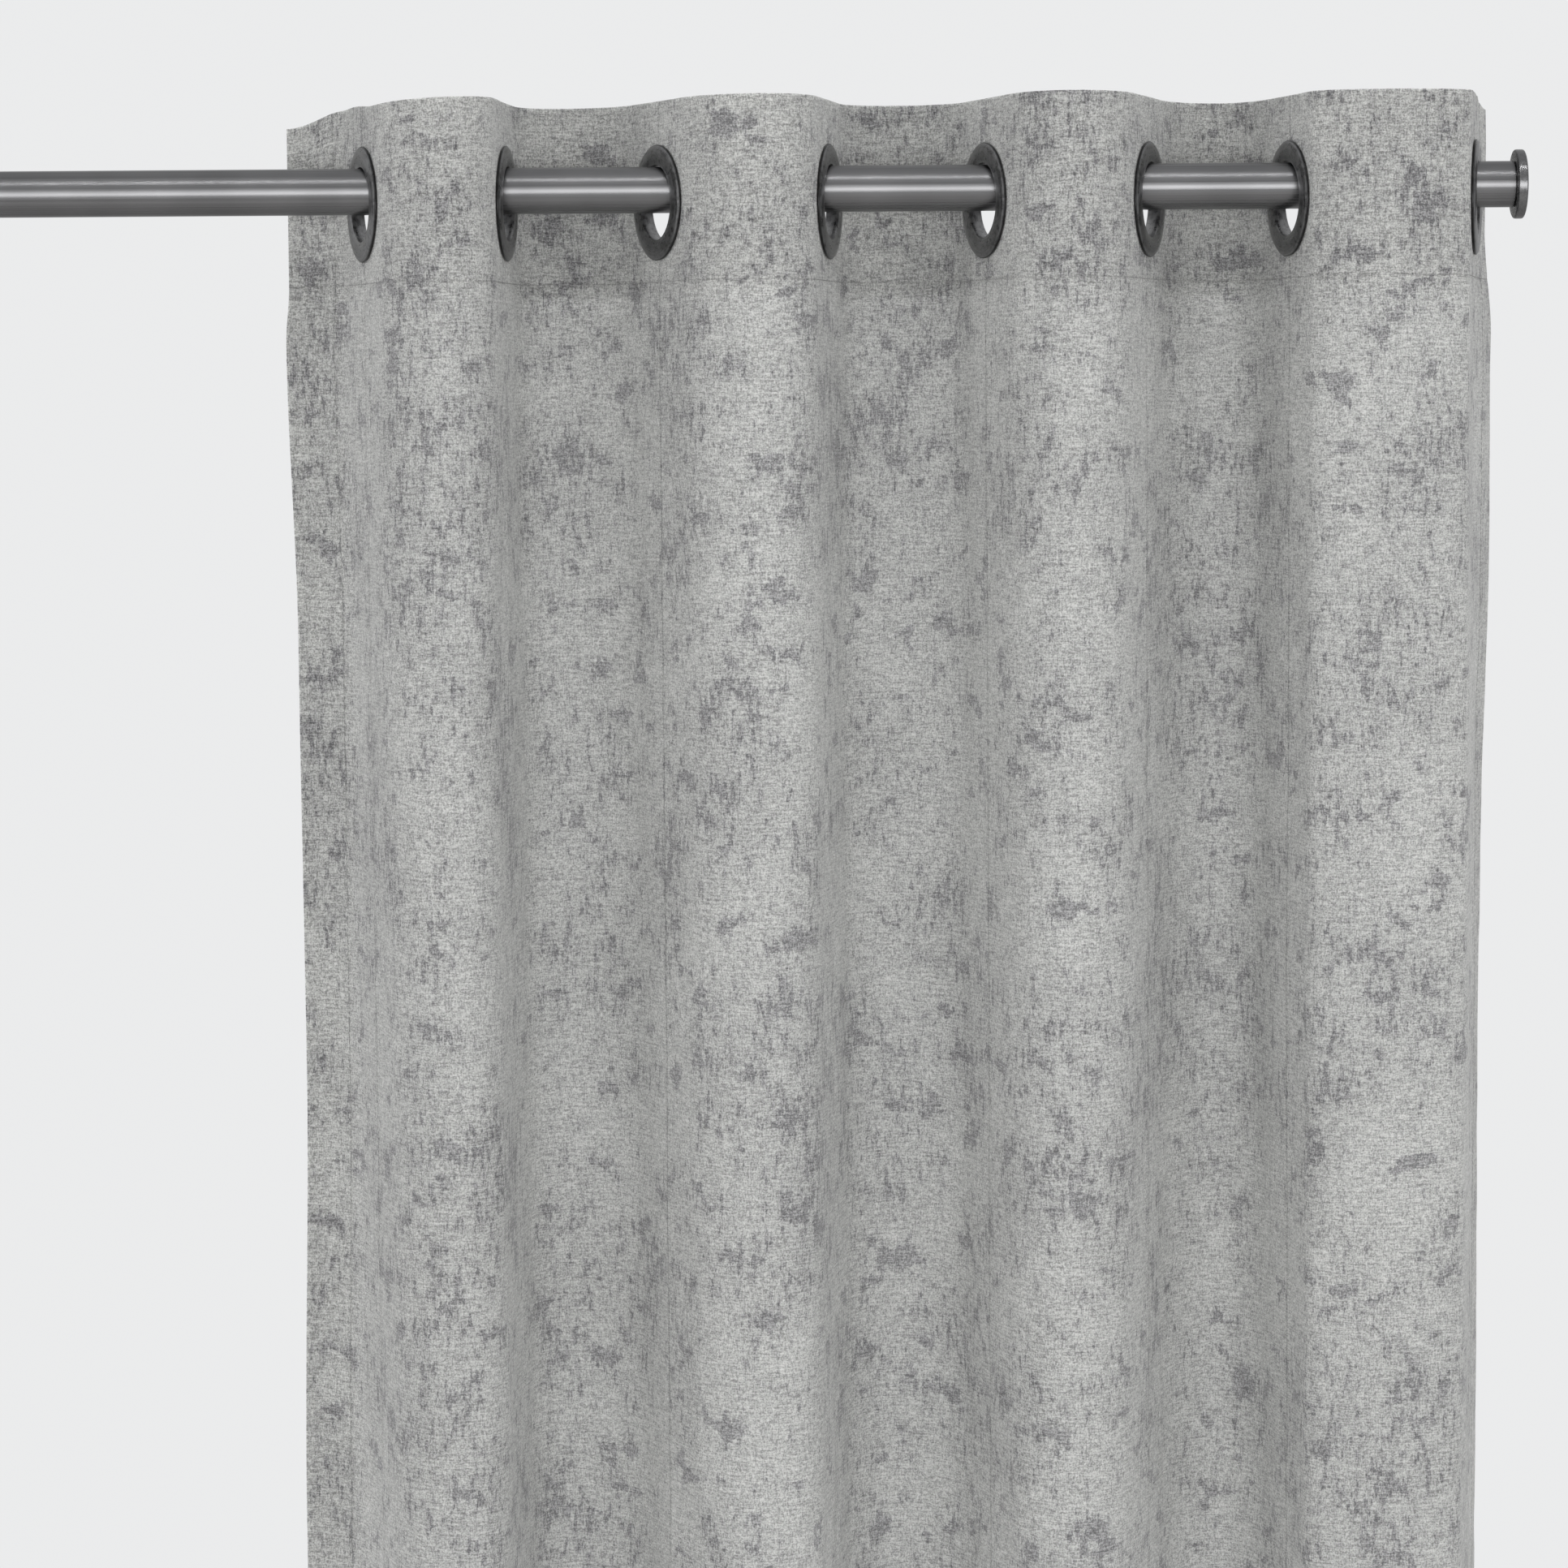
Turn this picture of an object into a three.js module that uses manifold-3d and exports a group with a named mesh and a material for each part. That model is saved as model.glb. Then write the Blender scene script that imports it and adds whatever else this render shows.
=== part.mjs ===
// A grommet-top curtain panel drawn most of the way shut on its rod.
//
// Units are millimetres. The origin is the centre of the right wall plate's back, which is on the wall:
// +X runs to the right along the rod, -Y points out into the room, and +Z is up.
// The panel is one length of cloth. It is flat where each grommet grips it and bends between them,
// so it is built as eight flat strips, each fixed to its grommet, and seven folds that bend.

import * as THREE from 'three';
import { mergeVertices } from 'three/addons/utils/BufferGeometryUtils.js';
import Module from 'manifold-3d';

const wasm = await Module();
wasm.setup();

// Driving dimensions

const gap = 0.3; // left between neighbouring pieces

const rodDiameter = 25.4;
const rodWall = 1.2;
const rodStandOff = 89; // from the wall to the rod's axis
const bracketSpacing = 810;
const rodPastRightBracket = 70;
const rodPastLeftBracket = 34;

const capDiameter = 38;
const capThickness = 5.5;
const capEdgeRadius = 1.2;
const capSpigotLength = 22;

const throatSlack = 15.2; // a grommet's throat is this much wider than the rod
const throatHang = 0.6; // kept between the rod's top and the throat that hangs on it
const barrelWall = 1;
const barrelTail = 2.4; // how far the barrel reaches past the cloth's back
const flangeWidth = 11.45;
const flangeHeight = 2.7;
const flangeLip = 0.6;
// The flange's section, as shares of its width from the throat and of its height from the cloth
const crestStart = 0.34;
const crestEnd = 0.62;
const shoulder = 0.88;
const shoulderHeight = 0.66;
const throatRoll = 0.11;
const throatRollHeight = 0.72;
const throatEdgeHeight = 0.1;
const backThroatHeight = 0.8;

const clothThickness = 0.6;
const tapeThickness = 0.8;
const panelDrop = 2134; // finished length
const bottomHem = 102;
const topToGrommet = 55.5; // from the panel's top edge to a grommet's centre
const headerPastFlange = 14.75; // the header is stitched this far below the grommets
const tapeMargin = 2; // the tape stops this far above the header's stitching

const grommetSpacing = 162; // along the cloth
const flatPastFlange = 1.25;
const edgeMargin = 78; // cloth from the end grommets to the side edges
const lastGrommetPastBracket = 47.3;
// How far each fold spans along the rod, as a share of its own cloth
const gathers = [0.638, 0.73, 0.732, 0.75, 0.685, 0.646, 0.881];
// How steeply each grommet's strip crosses the rod, in degrees
const crossings = [71, 84, 65, 78, 71, 71, 76, 78];
const leftEdgeTurn = 75; // how far the left edge curls towards the wall's line, in degrees
const rightEdgeFlare = 4; // how far the right edge flares out to the right, in degrees

const plateWidth = 28;
const plateThickness = 5;
const plateCorner = 5;
const armWidth = 9;
const armHeight = 16;
const cradleWidth = 14;
const cradleWall = 3.6;
const cradleLipAngle = 22; // how far the cradle's lips rise past the rod's middle, in degrees

const screwPastArm = 6; // from the arm's underside down to the lower screw's middle
const plateEndPastScrew = 9;
const wallScrewDiameter = 4;
const wallScrewHead = 8;
const wallScrewHeadDepth = 2.4;
const wallScrewLength = 32;
const wallScrewTip = 1;
const recessWidth = 1.1;
const recessLength = 4.6;
const recessDepth = 1.4;

const setScrewDiameter = 4;
const setScrewHead = 9;
const setScrewHeadHeight = 6;
const setScrewEdge = 0.6;
const setScrewReach = 2.5; // from the cradle's underside to the screw's head

const labelWidth = 26;
const labelHeight = 54;
const labelThickness = 0.4;
const labelAboveBottom = 150;
const labelFromEdge = 3;

// How finely the round and bent shapes are drawn
const foldSteps = 10;
const edgeSteps = 4;
const roundSides = 22;
const rodSides = 24;
const screwSides = 10;
const cornerSegments = 2;
const cradleSegments = 12;
const fitPasses = 40; // halvings that bring a fold to its cloth length
const weldDistance = 1e-4;

// Sizes that follow

const rodRadius = rodDiameter / 2;
const rodBore = rodRadius - rodWall;
const rodY = -rodStandOff;
const rodRight = rodPastRightBracket;
const rodLeft = -bracketSpacing - rodPastLeftBracket;

const throatRadius = rodRadius + throatSlack / 2;
const barrelRadius = throatRadius + barrelWall;
const flangeRadius = throatRadius + flangeWidth;
const clothHoleRadius = barrelRadius + gap;
const grommetZ = -(throatRadius - rodRadius - throatHang);
const headerHem = topToGrommet + flangeRadius + headerPastFlange;

// Distances to the front of the tape's middle, through the header
const tapeFace = tapeThickness / 2;
const clothInner = tapeFace + gap;
const clothOuter = clothInner + clothThickness;
const flangeSeat = clothOuter + gap;
const panelTop = grommetZ + topToGrommet;
const panelBottom = panelTop - panelDrop;

const flatHalf = flangeRadius + flatPastFlange;
const foldLength = grommetSpacing - 2 * flatHalf;
const edgeLength = edgeMargin - flatHalf;

const screwSpread = 2 * (armHeight + screwPastArm);
const plateHeight = screwSpread + 2 * plateEndPastScrew;
const cradleBore = rodRadius + gap;

const clothColor = 0xa3a39f;
const materials = {
  cloth: new THREE.MeshStandardMaterial({ color: clothColor, roughness: 0.95, metalness: 0 }),
  tape: new THREE.MeshStandardMaterial({ color: 0xe8e6e0, roughness: 0.9, metalness: 0 }),
  label: new THREE.MeshStandardMaterial({ color: 0xf2f1ee, roughness: 0.7, metalness: 0 }),
  grommet: new THREE.MeshStandardMaterial({ color: 0x4b4c4e, roughness: 0.35, metalness: 0.9 }),
  rod: new THREE.MeshStandardMaterial({ color: 0x77787a, roughness: 0.35, metalness: 0.9 }),
  bracket: new THREE.MeshStandardMaterial({ color: 0x5e5f61, roughness: 0.45, metalness: 0.8 }),
  screw: new THREE.MeshStandardMaterial({ color: 0x8a8b8d, roughness: 0.35, metalness: 0.9 }),
};

const panel = new THREE.Group();

function addMesh(name, geometry, material, parent = panel) {
  const mesh = new THREE.Mesh(geometry, material);
  mesh.name = name;
  parent.add(mesh);
  return mesh;
}

// Solid cutting and joining

function toSolid(geometry) {
  const bare = geometry.clone();
  bare.deleteAttribute('normal');
  bare.deleteAttribute('uv');
  const merged = mergeVertices(bare, weldDistance);
  return new wasm.Manifold(new wasm.Mesh({
    numProp: 3,
    vertProperties: new Float32Array(merged.attributes.position.array),
    triVerts: new Uint32Array(merged.index.array),
  }));
}

function toGeometry(solid) {
  const mesh = solid.getMesh();
  const geometry = new THREE.BufferGeometry();
  geometry.setAttribute('position', new THREE.BufferAttribute(mesh.vertProperties, 3));
  geometry.setIndex(new THREE.BufferAttribute(mesh.triVerts, 1));
  geometry.computeVertexNormals();
  return geometry;
}

// A cylinder along a direction, centred on a point
function cylinderAlong(radius, length, center, direction, sides = roundSides) {
  const geometry = new THREE.CylinderGeometry(radius, radius, length, sides);
  const turn = new THREE.Quaternion().setFromUnitVectors(new THREE.Vector3(0, 1, 0), direction);
  geometry.applyQuaternion(turn);
  return geometry.translate(center.x, center.y, center.z);
}

// The panel's line across the rod, seen from above

const headings = crossings.map((crossing, index) => {
  const angle = THREE.MathUtils.degToRad(crossing) * (index % 2 === 0 ? -1 : 1);
  return new THREE.Vector2(Math.cos(angle), Math.sin(angle));
});

const pitches = gathers.map((share, index) => (
  share * foldLength + flatHalf * (headings[index].x + headings[index + 1].x)
));

const grommets = headings.map((heading, index) => {
  const toLast = pitches.slice(index).reduce((sum, pitch) => sum + pitch, 0);
  return { center: new THREE.Vector2(lastGrommetPastBracket - toLast, rodY), heading };
});

function station(point, heading) {
  return { point, heading, front: new THREE.Vector2(heading.y, -heading.x) };
}

function along(grommet, distance) {
  return grommet.center.clone().addScaledVector(grommet.heading, distance);
}

// A smooth fold of a set cloth length that leaves and meets its two strips without a kink
function foldStations(left, right) {
  const start = along(left, flatHalf + gap / 2);
  const end = along(right, -flatHalf - gap / 2);
  const curveWith = (handle) => new THREE.CubicBezierCurve(
    start,
    start.clone().addScaledVector(left.heading, handle),
    end.clone().addScaledVector(right.heading, -handle),
    end,
  );
  let short = 0;
  let long = 2 * foldLength;
  for (let pass = 0; pass < fitPasses; pass += 1) {
    const middle = (short + long) / 2;
    if (curveWith(middle).getLength() < foldLength - gap) short = middle;
    else long = middle;
  }
  const curve = curveWith(short);
  const stations = [];
  for (let step = 0; step <= foldSteps; step += 1) {
    const share = step / foldSteps;
    stations.push(station(curve.getPointAt(share), curve.getTangentAt(share)));
  }
  return stations;
}

// The loose cloth from a flat strip's end to the side edge, turning evenly as it goes
function edgeStations(start, heading, turnDegrees, length) {
  const turn = THREE.MathUtils.degToRad(turnDegrees) / edgeSteps;
  const step = length / edgeSteps;
  const stations = [];
  const point = start.clone();
  const direction = heading.clone();
  for (let count = 0; count < edgeSteps; count += 1) {
    direction.rotateAround(new THREE.Vector2(), turn / 2);
    point.addScaledVector(direction, step);
    direction.rotateAround(new THREE.Vector2(), turn / 2);
    stations.push({ point: point.clone(), heading: direction.clone() });
  }
  return stations;
}

function stripStations(grommet, index) {
  const half = flatHalf - gap / 2;
  const first = index === 0;
  const last = index === grommets.length - 1;
  const leftEnd = along(grommet, first ? -flatHalf : -half);
  const rightEnd = along(grommet, last ? flatHalf : half);
  const stations = [station(leftEnd, grommet.heading), station(rightEnd, grommet.heading)];
  if (first) {
    const outward = grommet.heading.clone().negate();
    for (const { point, heading } of edgeStations(leftEnd, outward, leftEdgeTurn, edgeLength)) {
      stations.unshift(station(point, heading.negate()));
    }
  }
  if (last) {
    for (const { point, heading } of edgeStations(rightEnd, grommet.heading, -rightEdgeFlare, edgeLength)) {
      stations.push(station(point, heading));
    }
  }
  return stations;
}

// The part of a line of stations between two distances from its first
function stretchOf(stations, from, to) {
  const cut = [];
  let travelled = 0;
  for (let index = 0; index + 1 < stations.length; index += 1) {
    const here = stations[index];
    const next = stations[index + 1];
    const length = here.point.distanceTo(next.point);
    for (const distance of [from, to]) {
      const share = (distance - travelled) / length;
      if (distance === to && travelled > from && travelled < to) cut.push(here);
      if (share >= 0 && share < 1) {
        const point = here.point.clone().lerp(next.point, share);
        const front = here.front.clone().lerp(next.front, share);
        cut.push({ point, front });
      }
    }
    travelled += length;
  }
  return cut;
}

// Sweeps a closed outline of [to the front, up] points along the line, and closes both ends.
// The outline runs anticlockwise with the front on the right.
function sweepAlong(stations, outline) {
  const count = outline.length;
  const positions = [];
  const indices = [];
  for (const { point, front } of stations) {
    for (const [forward, up] of outline) {
      positions.push(point.x + forward * front.x, point.y + forward * front.y, up);
    }
  }
  for (let row = 0; row + 1 < stations.length; row += 1) {
    for (let column = 0; column < count; column += 1) {
      const here = row * count + column;
      const above = row * count + ((column + 1) % count);
      indices.push(here, here + count, above);
      indices.push(above, here + count, above + count);
    }
  }
  const lastRow = (stations.length - 1) * count;
  const flat = outline.map(([forward, up]) => new THREE.Vector2(forward, up));
  for (const [a, b, c] of THREE.ShapeUtils.triangulateShape(flat, [])) {
    indices.push(a, b, c);
    indices.push(lastRow + a, lastRow + c, lastRow + b);
  }
  const geometry = new THREE.BufferGeometry();
  geometry.setAttribute('position', new THREE.Float32BufferAttribute(positions, 3));
  geometry.setIndex(indices);
  geometry.computeVertexNormals();
  return geometry;
}

// The cloth from edge to edge: down the front, turned up behind at the bottom hem,
// and turned down behind at the header, where it wraps the tape
function clothOutline() {
  const hemInner = clothInner - gap;
  const hemOuter = hemInner - clothThickness;
  return [
    [clothOuter, panelBottom],
    [clothOuter, panelTop],
    [-clothOuter, panelTop],
    [-clothOuter, panelTop - headerHem],
    [-clothInner, panelTop - headerHem],
    [-clothInner, panelTop - clothThickness],
    [clothInner, panelTop - clothThickness],
    [clothInner, panelBottom + clothThickness],
    [hemInner, panelBottom + clothThickness],
    [hemInner, panelBottom + bottomHem],
    [hemOuter, panelBottom + bottomHem],
    [hemOuter, panelBottom],
  ];
}

function boxOutline(back, front, bottom, top) {
  return [[front, bottom], [front, top], [back, top], [back, bottom]];
}

function tapeOutline() {
  const top = panelTop - clothThickness - gap;
  return boxOutline(-tapeFace, tapeFace, panelTop - headerHem + tapeMargin, top);
}

// A strip or a length of tape with the grommet's hole cut through it
function punched(geometry, grommet) {
  const center = new THREE.Vector3(grommet.center.x, grommet.center.y, grommetZ);
  const front = new THREE.Vector3(grommet.heading.y, -grommet.heading.x, 0);
  const punch = cylinderAlong(clothHoleRadius, 4 * clothOuter, center, front);
  return toGeometry(toSolid(geometry).subtract(toSolid(punch)));
}

function buildPanel() {
  grommets.forEach((grommet, index) => {
    const number = index + 1;
    const stations = stripStations(grommet, index);
    const cloth = punched(sweepAlong(stations, clothOutline()), grommet);
    const tape = punched(sweepAlong(stations, tapeOutline()), grommet);
    addMesh(`cloth_${number}`, cloth, materials.cloth);
    addMesh(`tape_${number}`, tape, materials.tape);
    if (number < grommets.length) {
      const fold = foldStations(grommet, grommets[number]);
      addMesh(`fold_${number}`, sweepAlong(fold, clothOutline()), materials.cloth);
      addMesh(`fold_tape_${number}`, sweepAlong(fold, tapeOutline()), materials.tape);
    }
  });
}

// A blank care label sewn behind the left side edge, above the bottom hem
function buildLabel() {
  const stations = stretchOf(stripStations(grommets[0], 0), labelFromEdge, labelFromEdge + labelWidth);
  const front = clothInner - gap;
  const bottom = panelBottom + labelAboveBottom;
  const outline = boxOutline(front - labelThickness, front, bottom, bottom + labelHeight);
  addMesh('care_label', sweepAlong(stations, outline), materials.label);
}

// Grommets: a front half whose barrel passes through the cloth, and a back half pressed over it

function turned(points, sides) {
  const profile = points.map(([radius, height]) => new THREE.Vector2(radius, height));
  profile.push(profile[0].clone());
  return new THREE.LatheGeometry(profile, sides);
}

function flangePoint(widthShare, heightShare, side) {
  return [throatRadius + flangeWidth * widthShare, side * (flangeSeat + flangeHeight * heightShare)];
}

function frontHalfProfile() {
  return [
    [throatRadius, -flangeSeat - barrelTail],
    [barrelRadius, -flangeSeat - barrelTail],
    [barrelRadius, flangeSeat],
    [flangeRadius - flangeLip, flangeSeat],
    [flangeRadius, flangeSeat + flangeLip],
    flangePoint(shoulder, shoulderHeight, 1),
    flangePoint(crestEnd, 1, 1),
    flangePoint(crestStart, 1, 1),
    flangePoint(throatRoll, throatRollHeight, 1),
    flangePoint(0, throatEdgeHeight, 1),
  ];
}

function backHalfProfile() {
  const inner = barrelRadius + gap;
  return [
    [inner, -flangeSeat - flangeHeight * backThroatHeight],
    flangePoint(crestStart, 1, -1),
    flangePoint(crestEnd, 1, -1),
    flangePoint(shoulder, shoulderHeight, -1),
    [flangeRadius, -flangeSeat - flangeLip],
    [flangeRadius - flangeLip, -flangeSeat],
    [inner, -flangeSeat],
  ];
}

function buildGrommets() {
  grommets.forEach((grommet, index) => {
    const holder = new THREE.Group();
    const front = new THREE.Vector3(grommet.heading.y, -grommet.heading.x, 0);
    holder.quaternion.setFromUnitVectors(new THREE.Vector3(0, 1, 0), front);
    holder.position.set(grommet.center.x, grommet.center.y, grommetZ);
    panel.add(holder);
    const frontHalf = turned(frontHalfProfile(), roundSides);
    const backHalf = turned(backHalfProfile(), roundSides);
    addMesh(`grommet_front_${index + 1}`, frontHalf, materials.grommet, holder);
    addMesh(`grommet_back_${index + 1}`, backHalf, materials.grommet, holder);
  });
}

// The rod and its end caps, turned about the rod's axis

function buildRod() {
  const tube = turned([
    [rodBore, rodLeft],
    [rodRadius, rodLeft],
    [rodRadius, rodRight],
    [rodBore, rodRight],
  ], rodSides);
  tube.rotateZ(-Math.PI / 2).translate(0, rodY, 0);
  addMesh('rod_tube', tube, materials.rod);
  for (const [side, end, turn] of [['right', rodRight, -Math.PI / 2], ['left', rodLeft, Math.PI / 2]]) {
    const cap = new THREE.LatheGeometry([
      [0, -capSpigotLength],
      [rodBore - gap, -capSpigotLength],
      [rodBore - gap, gap],
      [capDiameter / 2 - capEdgeRadius, gap],
      [capDiameter / 2, gap + capEdgeRadius],
      [capDiameter / 2, gap + capThickness - capEdgeRadius],
      [capDiameter / 2 - capEdgeRadius, gap + capThickness],
      [0, gap + capThickness],
    ].map(([radius, height]) => new THREE.Vector2(radius, height)), rodSides);
    cap.rotateZ(turn).translate(end, rodY, 0);
    addMesh(`end_cap_${side}`, cap, materials.rod);
  }
}

// Wall brackets: a plate on the wall, an arm out to the rod and a cradle that the rod drops into

function plateSolid() {
  const halfWidth = plateWidth / 2;
  const halfHeight = plateHeight / 2;
  const shape = new THREE.Shape();
  shape.moveTo(plateCorner - halfWidth, -halfHeight);
  shape.lineTo(halfWidth - plateCorner, -halfHeight);
  shape.absarc(halfWidth - plateCorner, plateCorner - halfHeight, plateCorner, -Math.PI / 2, 0);
  shape.absarc(halfWidth - plateCorner, halfHeight - plateCorner, plateCorner, 0, Math.PI / 2);
  shape.absarc(plateCorner - halfWidth, halfHeight - plateCorner, plateCorner, Math.PI / 2, Math.PI);
  shape.absarc(plateCorner - halfWidth, plateCorner - halfHeight, plateCorner, Math.PI, 1.5 * Math.PI);
  const plate = new THREE.ExtrudeGeometry(shape, {
    depth: plateThickness,
    bevelEnabled: false,
    curveSegments: cornerSegments,
  });
  return toSolid(plate.rotateX(Math.PI / 2));
}

function cradleSolid() {
  const outer = cradleBore + cradleWall;
  const lip = THREE.MathUtils.degToRad(cradleLipAngle);
  const shape = new THREE.Shape();
  shape.absarc(0, 0, outer, Math.PI - lip, lip, false);
  shape.absarc(0, 0, cradleBore, lip, Math.PI - lip, true);
  const cradle = new THREE.ExtrudeGeometry(shape, {
    depth: cradleWidth,
    bevelEnabled: false,
    curveSegments: cradleSegments,
  });
  // The outline is drawn in the plane across the rod: its x runs towards the wall
  cradle.translate(0, 0, -cradleWidth / 2).rotateX(Math.PI / 2).rotateZ(Math.PI / 2);
  return toSolid(cradle.translate(0, rodY, 0));
}

function armSolid() {
  const reach = rodStandOff - cradleBore - cradleWall / 2;
  const arm = new THREE.BoxGeometry(armWidth, reach, armHeight);
  return toSolid(arm.translate(0, -reach / 2, -armHeight / 2));
}

function countersink(screwZ) {
  const head = new THREE.LatheGeometry([
    [0, -plateThickness - gap],
    [wallScrewDiameter / 2 + gap, -plateThickness - gap],
    [wallScrewDiameter / 2 + gap, -wallScrewHeadDepth - gap],
    [wallScrewHead / 2 + gap, 0],
    [wallScrewHead / 2 + gap, gap],
    [0, gap],
  ].map(([radius, height]) => new THREE.Vector2(radius, height)), screwSides);
  return toSolid(towardsRoom(head, screwZ));
}

// Stands a piece that was turned about Y on the plate's front, at a screw's height
function towardsRoom(geometry, screwZ) {
  return geometry.rotateX(Math.PI).translate(0, -plateThickness, screwZ);
}

function wallScrewGeometry(screwZ) {
  const screw = new THREE.LatheGeometry([
    [0, -wallScrewLength],
    [wallScrewTip / 2, -wallScrewLength],
    [wallScrewDiameter / 2, -wallScrewLength + wallScrewDiameter],
    [wallScrewDiameter / 2, -wallScrewHeadDepth],
    [wallScrewHead / 2, 0],
    [0, 0],
  ].map(([radius, height]) => new THREE.Vector2(radius, height)), screwSides);
  let solid = toSolid(screw);
  for (const quarter of [0, Math.PI / 2]) {
    const slot = new THREE.BoxGeometry(recessLength, 2 * recessDepth, recessWidth);
    solid = solid.subtract(toSolid(slot.rotateY(quarter)));
  }
  return towardsRoom(toGeometry(solid), screwZ);
}

function setScrewGeometry() {
  const top = -cradleBore;
  const headTop = top - cradleWall - setScrewReach;
  const headBottom = headTop - setScrewHeadHeight;
  return new THREE.LatheGeometry([
    [0, headBottom],
    [setScrewHead / 2 - setScrewEdge, headBottom],
    [setScrewHead / 2, headBottom + setScrewEdge],
    [setScrewHead / 2, headTop],
    [setScrewDiameter / 2, headTop],
    [setScrewDiameter / 2, top],
    [0, top],
  ].map(([radius, height]) => new THREE.Vector2(radius, height)), screwSides)
    .rotateX(Math.PI / 2)
    .translate(0, rodY, 0);
}

function buildBracket(side, x) {
  const holder = new THREE.Group();
  holder.position.x = x;
  panel.add(holder);
  const screwHeights = [screwSpread / 2, -screwSpread / 2];
  let bracket = plateSolid().add(armSolid()).add(cradleSolid());
  for (const height of screwHeights) bracket = bracket.subtract(countersink(height));
  const tapped = new THREE.Vector3(0, rodY, -rodRadius - cradleWall);
  const up = new THREE.Vector3(0, 0, 1);
  const tap = cylinderAlong(setScrewDiameter / 2 + gap, 3 * cradleWall, tapped, up, screwSides);
  bracket = bracket.subtract(toSolid(tap));
  addMesh(`bracket_${side}`, toGeometry(bracket), materials.bracket, holder);
  addMesh(`set_screw_${side}`, setScrewGeometry(), materials.screw, holder);
  addMesh(`wall_screw_${side}_upper`, wallScrewGeometry(screwHeights[0]), materials.screw, holder);
  addMesh(`wall_screw_${side}_lower`, wallScrewGeometry(screwHeights[1]), materials.screw, holder);
}

buildRod();
buildBracket('right', 0);
buildBracket('left', -bracketSpacing);
buildGrommets();
buildPanel();
buildLabel();

export default panel;
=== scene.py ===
import math

import bmesh
import bpy
import numpy as np
from mathutils import Matrix, Vector


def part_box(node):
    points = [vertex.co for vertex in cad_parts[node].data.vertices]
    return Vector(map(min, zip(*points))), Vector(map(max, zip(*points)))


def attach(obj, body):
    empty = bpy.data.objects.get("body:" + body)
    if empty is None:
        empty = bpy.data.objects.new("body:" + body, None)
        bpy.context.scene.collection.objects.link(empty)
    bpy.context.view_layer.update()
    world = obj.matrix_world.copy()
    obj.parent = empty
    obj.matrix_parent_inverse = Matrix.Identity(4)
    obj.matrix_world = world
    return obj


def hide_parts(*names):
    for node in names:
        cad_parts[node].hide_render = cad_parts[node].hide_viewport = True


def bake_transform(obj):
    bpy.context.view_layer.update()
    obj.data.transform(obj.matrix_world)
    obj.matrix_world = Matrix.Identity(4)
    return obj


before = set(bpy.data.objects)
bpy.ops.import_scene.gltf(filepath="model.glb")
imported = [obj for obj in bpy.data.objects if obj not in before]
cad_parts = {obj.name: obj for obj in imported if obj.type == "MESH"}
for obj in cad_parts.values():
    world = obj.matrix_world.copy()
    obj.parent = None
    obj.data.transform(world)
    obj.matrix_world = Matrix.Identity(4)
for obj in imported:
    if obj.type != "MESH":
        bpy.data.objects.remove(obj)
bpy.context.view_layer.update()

# Sizes are in metres. Places across the cloth are measured from its left side edge, and heights down
# it from its top edge.
panel = {
    "drop": 2.134,
    "grommetSpacing": 0.162,
    "edgeMargin": 0.078,
    "crossings": [71, 84, 65, 78, 71, 71, 76, 78],  # degrees from each grommet's strip to the rod
    "flatPastFlange": 0.00125,
    "leftEdgeTurn": 75,
    "rightEdgeTurn": -4,
    "headerHem": 0.102,
    "bottomHem": 0.102,
    "sideHem": 0.032,
    "stitchFromHem": 0.003,  # from a hem's raw edge to its stitching
    "front": 0.0013,  # the cloth's face, in front of its middle line
    "thickness": 0.0008,
    "hemThickness": 0.0016,
    "hemStep": 0.002,  # half of the width over which the cloth thickens into a hem
    "columnStep": 0.0046,
    "rowStep": 0.0068,
    "headerRowStep": 0.0036,
    "foldPoints": 240,
    "foldHalvings": 40,
    "edgePoints": 24,
    "stripPoints": 12,
    "bendInset": 0.006,  # how far inside its grommets a stretch's ends are placed
    "holeInset": 0.0075,  # how far inside the flange's edge the cloth is cut
    "closestRows": 0.0003,
    "rowsPastHeader": 0.006,  # the lower rows start this far above the header's hem
    "closeRows": (-0.0022, -0.0008, 0.0008, 0.0022),  # beside a line of stitching
}

grommetCount = len(panel["crossings"])
bodyOf = {number: f"grommet_{number}" for number in range(1, grommetCount + 1)}


def smooth(low, high, value):
    share = np.clip((value - low) / (high - low), 0, 1)
    return share * share * (3 - 2 * share)


# A smooth run through (place, amount) stops, level past the first and the last
def glide(value, stops):
    total = stops[0][1]
    for (start, low), (end, high) in zip(stops, stops[1:]):
        total = total + (high - low) * smooth(start, end, value)
    return total


def spanOf(*nodes):
    boxes = [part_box(node) for node in nodes]
    low = Vector([min(box[0][axis] for box in boxes) for axis in range(3)])
    high = Vector([max(box[1][axis] for box in boxes) for axis in range(3)])
    return low, high


rodLow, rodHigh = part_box("rod_tube")
rodCentre = (rodLow + rodHigh) / 2
rodRadius = (rodHigh.z - rodLow.z) / 2
panelLow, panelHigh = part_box("cloth_4")
topZ = panelHigh.z
grommetCentres = []
for number in range(1, grommetCount + 1):
    low, high = spanOf(f"grommet_front_{number}", f"grommet_back_{number}")
    grommetCentres.append((low + high) / 2)
flangeRadius = (high.z - low.z) / 2
flatHalf = flangeRadius + panel["flatPastFlange"]
clothWidth = 2 * panel["edgeMargin"] + (grommetCount - 1) * panel["grommetSpacing"]
grommetDown = topZ - grommetCentres[0].z
seamPlaces = [panel["edgeMargin"] + number * panel["grommetSpacing"] for number in range(grommetCount)]
stitchRows = [panel["headerHem"] - panel["stitchFromHem"]]
stitchRows.append(panel["drop"] - panel["bottomHem"] + panel["stitchFromHem"])
stitchColumns = [panel["sideHem"] - panel["stitchFromHem"]]
stitchColumns.append(clothWidth - stitchColumns[0])


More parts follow.
